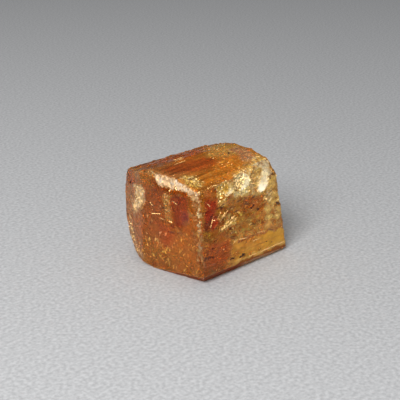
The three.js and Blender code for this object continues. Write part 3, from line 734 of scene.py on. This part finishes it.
def inside_distance(points, outline):
    """How far each point lies inside an outline, negative outside it."""
    outline = np.array(outline, float)
    nearest = np.full(len(points), np.inf)
    inside = np.zeros(len(points), bool)
    for start, end in zip(outline, np.roll(outline, -1, axis=0)):
        along = end - start
        share = np.clip((points - start) @ along / (along @ along), 0, 1)
        nearest = np.minimum(nearest, np.linalg.norm(points - start - share[:, None] * along, axis=1))
        crosses = (start[1] > points[:, 1]) != (end[1] > points[:, 1])
        if start[1] != end[1]:
            at = start[0] + (points[:, 1] - start[1]) * along[0] / along[1]
            inside ^= crosses & (points[:, 0] < at)
    return np.where(inside, nearest, -nearest)


def wobble(points, stretch, waves, seed):
    """Smooth noise between -1 and 1 at each point, given in mm."""
    shift = Vector((seed, seed * 1.7, seed * 2.3))
    return np.array([noise.noise(Vector(point) * waves + shift) for point in points * stretch])


def bulge(mesh, points, normals):
    """How far each point stands out from its neighbours, in mm: large along the crystal's edges."""
    ends = np.zeros(len(mesh.edges) * 2, int)
    mesh.edges.foreach_get("vertices", ends)
    one, other = ends.reshape(-1, 2).T
    both = np.concatenate([one, other])
    mates = np.concatenate([other, one])
    count = np.maximum(np.bincount(both, minlength=len(points)), 1)

    def mean(values):
        return np.bincount(both, weights=values[mates], minlength=len(points)) / count

    middle = np.stack([mean(points[:, axis]) for axis in range(3)], axis=1)
    height = np.einsum("ij,ij->i", points - middle, normals)
    return mean(mean(height))


def read_points(mesh, name):
    """One vector of each point of a mesh, as a row of three numbers."""
    values = np.zeros(len(mesh.vertices) * 3)
    mesh.vertices.foreach_get(name, values)
    return values.reshape(-1, 3)


def lay_ground(points, cleaved, fine):
    """Colour, frosting and milkiness of the stone where no patch covers it."""
    rustiness = np.clip(wobble(points, *RUST_CLOUDS) * 1.2 + 0.2, 0, MOST_RUST)[:, None]
    tint = np.array(HONEY) + (np.array(RUST) - np.array(HONEY)) * rustiness
    tint *= 1 + GROUND_SHADING * (fine * (1 - 0.7 * cleaved))[:, None]
    frost = np.clip(wobble(points, *FROST_HAZE) * 0.5 - 0.15, 0, GROUND_FROST) * (1 - cleaved)
    milk = np.clip(wobble(points, *MILK_HAZE) * 0.5 - 0.06, 0, GROUND_MILK)
    return tint, frost, milk


def lay_patches(points, normals, tint, frost, milk):
    """Lays the patches one over another, each with an outline that wanders."""
    drift = sum(reach * np.stack([wobble(points, EVEN, waves, seed) for seed in seeds], axis=1)
                for waves, reach, seeds in WANDERINGS)
    for _, side, colour, share, frosting, milkiness, soft, outline in PATCHES:
        facing, least, axes = SIDES[side]
        turned = smooth_step(normals @ np.array(facing, float), least - SIDE_FADE, least + SIDE_FADE)
        amount = turned * smooth_step(inside_distance(points[:, axes] + drift, outline), -soft, soft)
        tint += (np.array(colour) - tint) * (amount * share)[:, None]
        frost += (frosting - frost) * amount
        milk += (milkiness - milk) * amount
    return tint, frost, milk


def mottle_stone(points, normals, cleaved, tint, milk):
    """Mottles the stone, but not its thickest milk or its top, and less its cleavage and its foot."""
    mottle = wobble(points, *MOTTLE) + FINE_MOTTLE_SHARE * wobble(points, *FINE_MOTTLE)
    mottle *= smooth_step(milk, 0.75, 0.55) * smooth_step(normals[:, 2], *NOT_UPWARD)
    mottle *= 1 - 0.9 * cleaved
    mottle *= FOOT_MOTTLING + (1 - FOOT_MOTTLING) * smooth_step(points[:, 2], *FOOT_END)
    shade = np.where(mottle > 0, LIGHT_MOTTLE_SHARE * mottle, mottle)[:, None]
    tint *= 1 + MOTTLING * shade * np.array(MOTTLE_COLOUR)
    return tint, np.clip(milk * (1 + MOTTLE_MILK * mottle), 0, 1)


def wear_and_highlight_edges(mesh, points, normals, fine, tint, frost, milk):
    """Worn edges are paler, frosted and milky, but not at the foot; their paleness is in part a painted edge
    highlight.
    """
    wear_and_highlight = smooth_step(bulge(mesh, points, normals), *WORN_BULGE) * np.clip(0.55 + 0.8 * fine, 0, 1)
    wear_and_highlight *= smooth_step(points[:, 2], *WORN_HEIGHTS)
    tint += (np.array(CREAM) - tint) * (wear_and_highlight * WORN_PALENESS_AND_HIGHLIGHT)[:, None]
    return tint, np.maximum(frost, WORN_FROST * wear_and_highlight), np.maximum(milk, WORN_MILK * wear_and_highlight)


def paint_stone(body):
    """Writes the stone's colour, frosting and milkiness on the points of its skin, and roughens it."""
    mesh = body.data
    points = read_points(mesh, "co") / MM
    normals = read_points(mesh, "normal")
    cleaved = smooth_step(normals[:, 0], *CLEAVED)
    fine = wobble(points, *FINE)
    tint, frost, milk = lay_ground(points, cleaved, fine)
    tint, frost, milk = lay_patches(points, normals, tint, frost, milk)
    tint, milk = mottle_stone(points, normals, cleaved, tint, milk)
    tint, frost, milk = wear_and_highlight_edges(mesh, points, normals, fine, tint, frost, milk)
    # the streaks of colour are strong on the top, from the cleavage end to its middle
    fading = 1 - STREAKS_LOST * smooth_step(points[:, 0], *STREAKS_END)
    streaky = smooth_step(normals[:, 2], *UPWARD) * fading
    streaky = (STREAKS_ELSEWHERE + (1 - STREAKS_ELSEWHERE) * streaky)[:, None]
    tint_layer = mesh.color_attributes.new("tint", "FLOAT_COLOR", "POINT")
    tint_layer.data.foreach_set("color", np.concatenate([tint, streaky], axis=1).ravel())
    for name, values in (("frost", frost), ("milk", milk)):
        layer = mesh.attributes.new(name, "FLOAT", "POINT")
        layer.data.foreach_set("value", values)
    roughen(body, normals, frost)


def weigh(body, name, weights):
    """Makes a vertex group of the body's points, with the weights rounded to a few steps."""
    group = body.vertex_groups.new(name=name)
    steps = np.round(np.clip(weights, 0, 1) * WEIGHT_STEPS).astype(int)
    for step in range(1, WEIGHT_STEPS + 1):
        members = np.flatnonzero(steps == step).tolist()
        if members:
            group.add(members, step / WEIGHT_STEPS, "REPLACE")


def press_relief(body, name, kind, grain, stretch, height, group, settings):
    """Presses a texture into the skin, half of its height outwards and half inwards."""
    texture = bpy.data.textures.new(name, kind)
    for key, value in settings.items():
        setattr(texture, key, value)
    ruler = bpy.data.objects.new(name + " ruler", None)
    put_in_scene(ruler)
    ruler.scale = [grain * length * MM for length in stretch]
    bpy.context.view_layer.update()
    apply_modifier(body, name, "DISPLACE", texture=texture, texture_coords="OBJECT",
                   texture_coords_object=ruler, strength=height * MM, mid_level=0.5, vertex_group=group)
    bpy.data.objects.remove(ruler)
    bpy.data.textures.remove(texture)


def roughen(body, normals, frost):
    """Striations along the prism, hackle on the broken end, an etched back, and lumps in the frosting."""
    weigh(body, "prism", smooth_step(np.abs(normals[:, 0]), *PRISM))
    weigh(body, "broken", smooth_step(normals[:, 0], *BROKEN))
    weigh(body, "etched", smooth_step(normals[:, 1], *BACKWARD) * smooth_step(normals[:, 0], *NOT_CLEAVED))
    weigh(body, "frosted", frost)
    weigh(body, "all", np.ones(len(frost)))
    for row in RELIEFS:
        press_relief(body, *row)


def copy_into_scene(original, name):
    copy = original.copy()
    copy.data = original.data.copy()
    copy.name = name
    put_in_scene(copy)
    return copy


def cut_crystal():
    """The stone's skin: a fine mesh laid on the solid's faces, then painted and roughened."""
    guide = copy_into_scene(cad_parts["crystal"], "guide")
    guide.parent = None
    make_active(guide)
    bpy.ops.object.mode_set(mode="EDIT")
    bpy.ops.mesh.select_all(action="SELECT")
    bpy.ops.mesh.remove_doubles(threshold=WELD)
    bpy.ops.object.mode_set(mode="OBJECT")
    body = copy_into_scene(guide, "crystal_body")
    for key in list(body.keys()):
        if key.startswith("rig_"):
            del body[key]
    apply_modifier(body, "skin", "REMESH", mode="VOXEL", voxel_size=SKIN_STEP)
    apply_modifier(body, "lay", "SHRINKWRAP", target=guide, wrap_method="NEAREST_SURFACEPOINT")
    bpy.data.objects.remove(guide)
    make_active(body)
    bpy.ops.object.shade_smooth_by_angle(angle=CREASE)
    paint_stone(body)
    body.data.materials.clear()
    body.data.materials.append(topaz_material())
    make_part_of_stone(body)
    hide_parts("crystal")


def bend_inwards(direction, normal):
    """The way that light from a direction takes inside the stone, under a skin with that normal."""
    along = (direction - normal * direction.dot(normal)) / TOPAZ_IOR
    return along + normal * math.sqrt(1 - along.length_squared)


def glint(point, normal, lit_through):
    """The way a flake faces when light that came in through one face leaves through the skin above it."""
    light = bend_inwards((KEY_AT - point).normalized(), lit_through)
    sight = bend_inwards((CAMERA_AT - point).normalized(), normal)
    return (light + sight).normalized()


def flash(point):
    """The way a chip faces in the air when it throws the key light to the eye."""
    return ((KEY_AT - point).normalized() + (CAMERA_AT - point).normalized()).normalized()


def skin_point(side, across):
    """Where a side's skin is, at a place across it in mm, and the way that the skin faces there."""
    facing, _, axes = SIDES[side]
    start = Vector(facing) * RAY_START
    start[axes[0]], start[axes[1]] = across
    point, normal, _, _ = cad_skin.ray_cast(start * MM, -Vector(facing))
    return point, normal


def scattered_points(chance, side, middle, spread, count):
    """Gives places scattered over a side's skin, one by one, with the way that the skin faces there."""
    found = 0
    while found < count:
        point, normal = skin_point(side, [chance.gauss(*pair) for pair in zip(middle, spread)])
        if point is not None:
            found += 1
            yield point, normal


def any_way(chance, spread):
    """A small vector that points any way."""
    return Vector([chance.gauss(0, spread) for _ in range(3)])


def some_width(chance, widths, smallness):
    """A width between the least and the most: the higher the smallness, the more often a small one."""
    return (widths[0] + (widths[1] - widths[0]) * chance.random() ** smallness) * MM


def finish_uneven(offset, seed):
    """Shifts the points of the shape that was just added, each its own way."""
    shape = bpy.context.active_object
    bpy.ops.object.mode_set(mode="EDIT")
    bpy.ops.mesh.select_all(action="SELECT")
    bpy.ops.transform.vertex_random(offset=offset, seed=seed)
    bpy.ops.object.mode_set(mode="OBJECT")
    return shape


def flake_shape():
    """One flake: a thin seven-sided plate with an uneven outline, one unit across."""
    deselect_all()
    bpy.ops.mesh.primitive_cylinder_add(vertices=7, radius=0.5, depth=0.08)
    return finish_uneven(offset=0.1, seed=3)


def speck_shape():
    """One speck: an uneven grain, one unit across."""
    deselect_all()
    bpy.ops.mesh.primitive_ico_sphere_add(subdivisions=2, radius=0.5)
    return finish_uneven(offset=0.14, seed=5)


def set_in_stone(name, shape, places, material):
    """Copies a shape to every place, joins the copies and makes them a piece of the stone."""
    copies = []
    for place in places:
        copy = copy_into_scene(shape, name)
        copy.data.transform(place)
        copies.append(copy)
    deselect_all()
    for copy in copies:
        copy.select_set(True)
    bpy.context.view_layer.objects.active = copies[0]
    bpy.ops.object.join()
    piece = bpy.context.active_object
    piece.data.materials.clear()
    piece.data.materials.append(material)
    make_part_of_stone(piece)


def lying(point, facing, turn, length, width, thickness):
    """Places a flat shape at a point, so that its flat side faces that way."""
    aim = facing.to_track_quat("Z", "Y").to_matrix().to_4x4()
    size = Matrix.Diagonal((length, width, thickness, 1))
    return Matrix.Translation(point) @ aim @ Matrix.Rotation(turn, 4, "Z") @ size


def lying_along(point, facing, along, length, width):
    """Places a flat shape at a point: its flat side faces one way and its length runs along another."""
    along = (along - facing * along.dot(facing)).normalized()
    turn = Matrix((along, facing.cross(along), facing)).transposed().to_4x4()
    return Matrix.Translation(point) @ turn @ Matrix.Diagonal((length, width, width, 1))


def scatter_flakes(shape, material):
    for name, side, middle, spread, count, depths, widths in FLAKES:
        chance = random.Random(name)
        places = []
        for point, normal in scattered_points(chance, side, middle, spread, count):
            point = point - normal * chance.uniform(*depths) * MM
            tilt = any_way(chance, FLAKE_TILT)
            facing = glint(point, normal, chance.choice((normal, normal, UP))) + tilt
            width = some_width(chance, widths, FLAKE_SMALLNESS)
            narrow = width * chance.uniform(*FLAKE_NARROWNESS)
            turn = UPRIGHT + chance.gauss(0, END_FLAKE_TURN) if side == "end" else chance.gauss(0, FLAKE_TURN)
            places.append(lying(point, facing, turn, width, narrow, width))
        set_in_stone(name, shape, places, material)


def scatter_chips(shape, bright, dull):
    for name, side, middle, spread, count, widths in CHIPS:
        chance = random.Random(name)
        places = []
        for point, normal in scattered_points(chance, side, middle, spread, count):
            tilt = any_way(chance, CHIP_TILT)
            width = some_width(chance, widths, CHIP_SMALLNESS)
            narrow = width * chance.uniform(*CHIP_NARROWNESS)
            along = (UP if side == "end" else LENGTHWISE) + any_way(chance, CHIP_LEAN)
            facing = (flash(point) + tilt).normalized()
            places.append(lying_along(point - normal * width * CHIP_SINKING, facing, along, width, narrow))
        set_in_stone(name, shape, places, dull if name in DULL_CHIPS else bright)


def lay_streaks(shape, material):
    """Each streak is a row of chips, end to end, that all flash."""
    chance = random.Random("streaks")
    places = []
    for side, start, end, width in STREAKS:
        start, normal = skin_point(side, start)
        end, _ = skin_point(side, end)
        width *= MM
        count = max(2, round((end - start).length / width))
        for step in range(count):
            point = start.lerp(end, (step + 0.5) / count) + normal * chance.uniform(*STREAK_LIFT) * width
            point.z += chance.gauss(0, STREAK_WANDER) * width
            facing = (flash(point) + any_way(chance, STREAK_TILT)).normalized()
            narrow = width * chance.uniform(*STREAK_NARROWNESS)
            places.append(lying_along(point, facing, end - start, STREAK_OVERLAP * width, narrow))
    set_in_stone("bright_streaks", shape, places, material)


def stain_cracks(shape, material):
    """Thin rust-brown films in cracks."""
    chance = random.Random("stains")
    places = []
    for side, across, up, count in STAINS:
        for _ in range(count):
            point, normal = skin_point(side, (chance.uniform(*across), chance.uniform(*up)))
            point = point - normal * chance.uniform(*STAIN_DEPTHS) * MM
            facing = (normal + any_way(chance, STAIN_TILT)).normalized()
            length = chance.uniform(*STAIN_LENGTHS) * MM
            turn = chance.gauss(0, STAIN_TILT)
            places.append(lying(point, facing, turn, length, length / 4, STAIN_THICKNESS))
    set_in_stone("stained_cracks", shape, places, material)


def drop_specks(shape, material):
    chance = random.Random("specks")
    places = []
    for side, across, width in SPECKS:
        point, normal = skin_point(side, across)
        for _ in range(SPECK_GRAINS):
            size = chance.uniform(*GRAIN_SIZES) * width * MM
            shift = Vector([chance.gauss(0, SPECK_SCATTER * reach) * width * MM for reach in SPECK_SHIFTS])
            turn = chance.gauss(0, SPECK_TURN)
            narrow = size * chance.uniform(*GRAIN_NARROWNESS)
            places.append(lying(point + shift - normal * SPECK_DEPTH, normal, turn, size, narrow, size / 2))
    set_in_stone("dark_specks", shape, places, material)


def fill_stone():
    flake, speck = flake_shape(), speck_shape()
    bright = plain_material("bright chip", BRIGHT_CHIP, metallic=1.0, roughness=0.42)
    dull = plain_material("dull chip", DULL_CHIP, metallic=1.0, roughness=0.42)
    scatter_flakes(flake, plain_material("healed crack", HEALED_CRACK, metallic=1.0, roughness=0.45))
    scatter_chips(flake, bright, dull)
    lay_streaks(flake, dull)
    stain_cracks(flake, plain_material("rusty film", RUSTY_FILM, metallic=0.0, roughness=0.5))
    drop_specks(speck, plain_material("iron oxide", IRON_OXIDE, metallic=0.0, roughness=0.5))
    bpy.data.objects.remove(flake)
    bpy.data.objects.remove(speck)


place_camera()
softbox("key softbox", KEY_AT, KEY_SIZE, KEY_POWER)
softbox("top softbox", TOP_AT, TOP_SIZE, TOP_POWER)
light_studio()
lay_floor()
cut_crystal()
fill_stone()
bpy.context.scene.view_settings.view_transform = "Standard"
bpy.context.scene.view_settings.look = "Medium High Contrast"
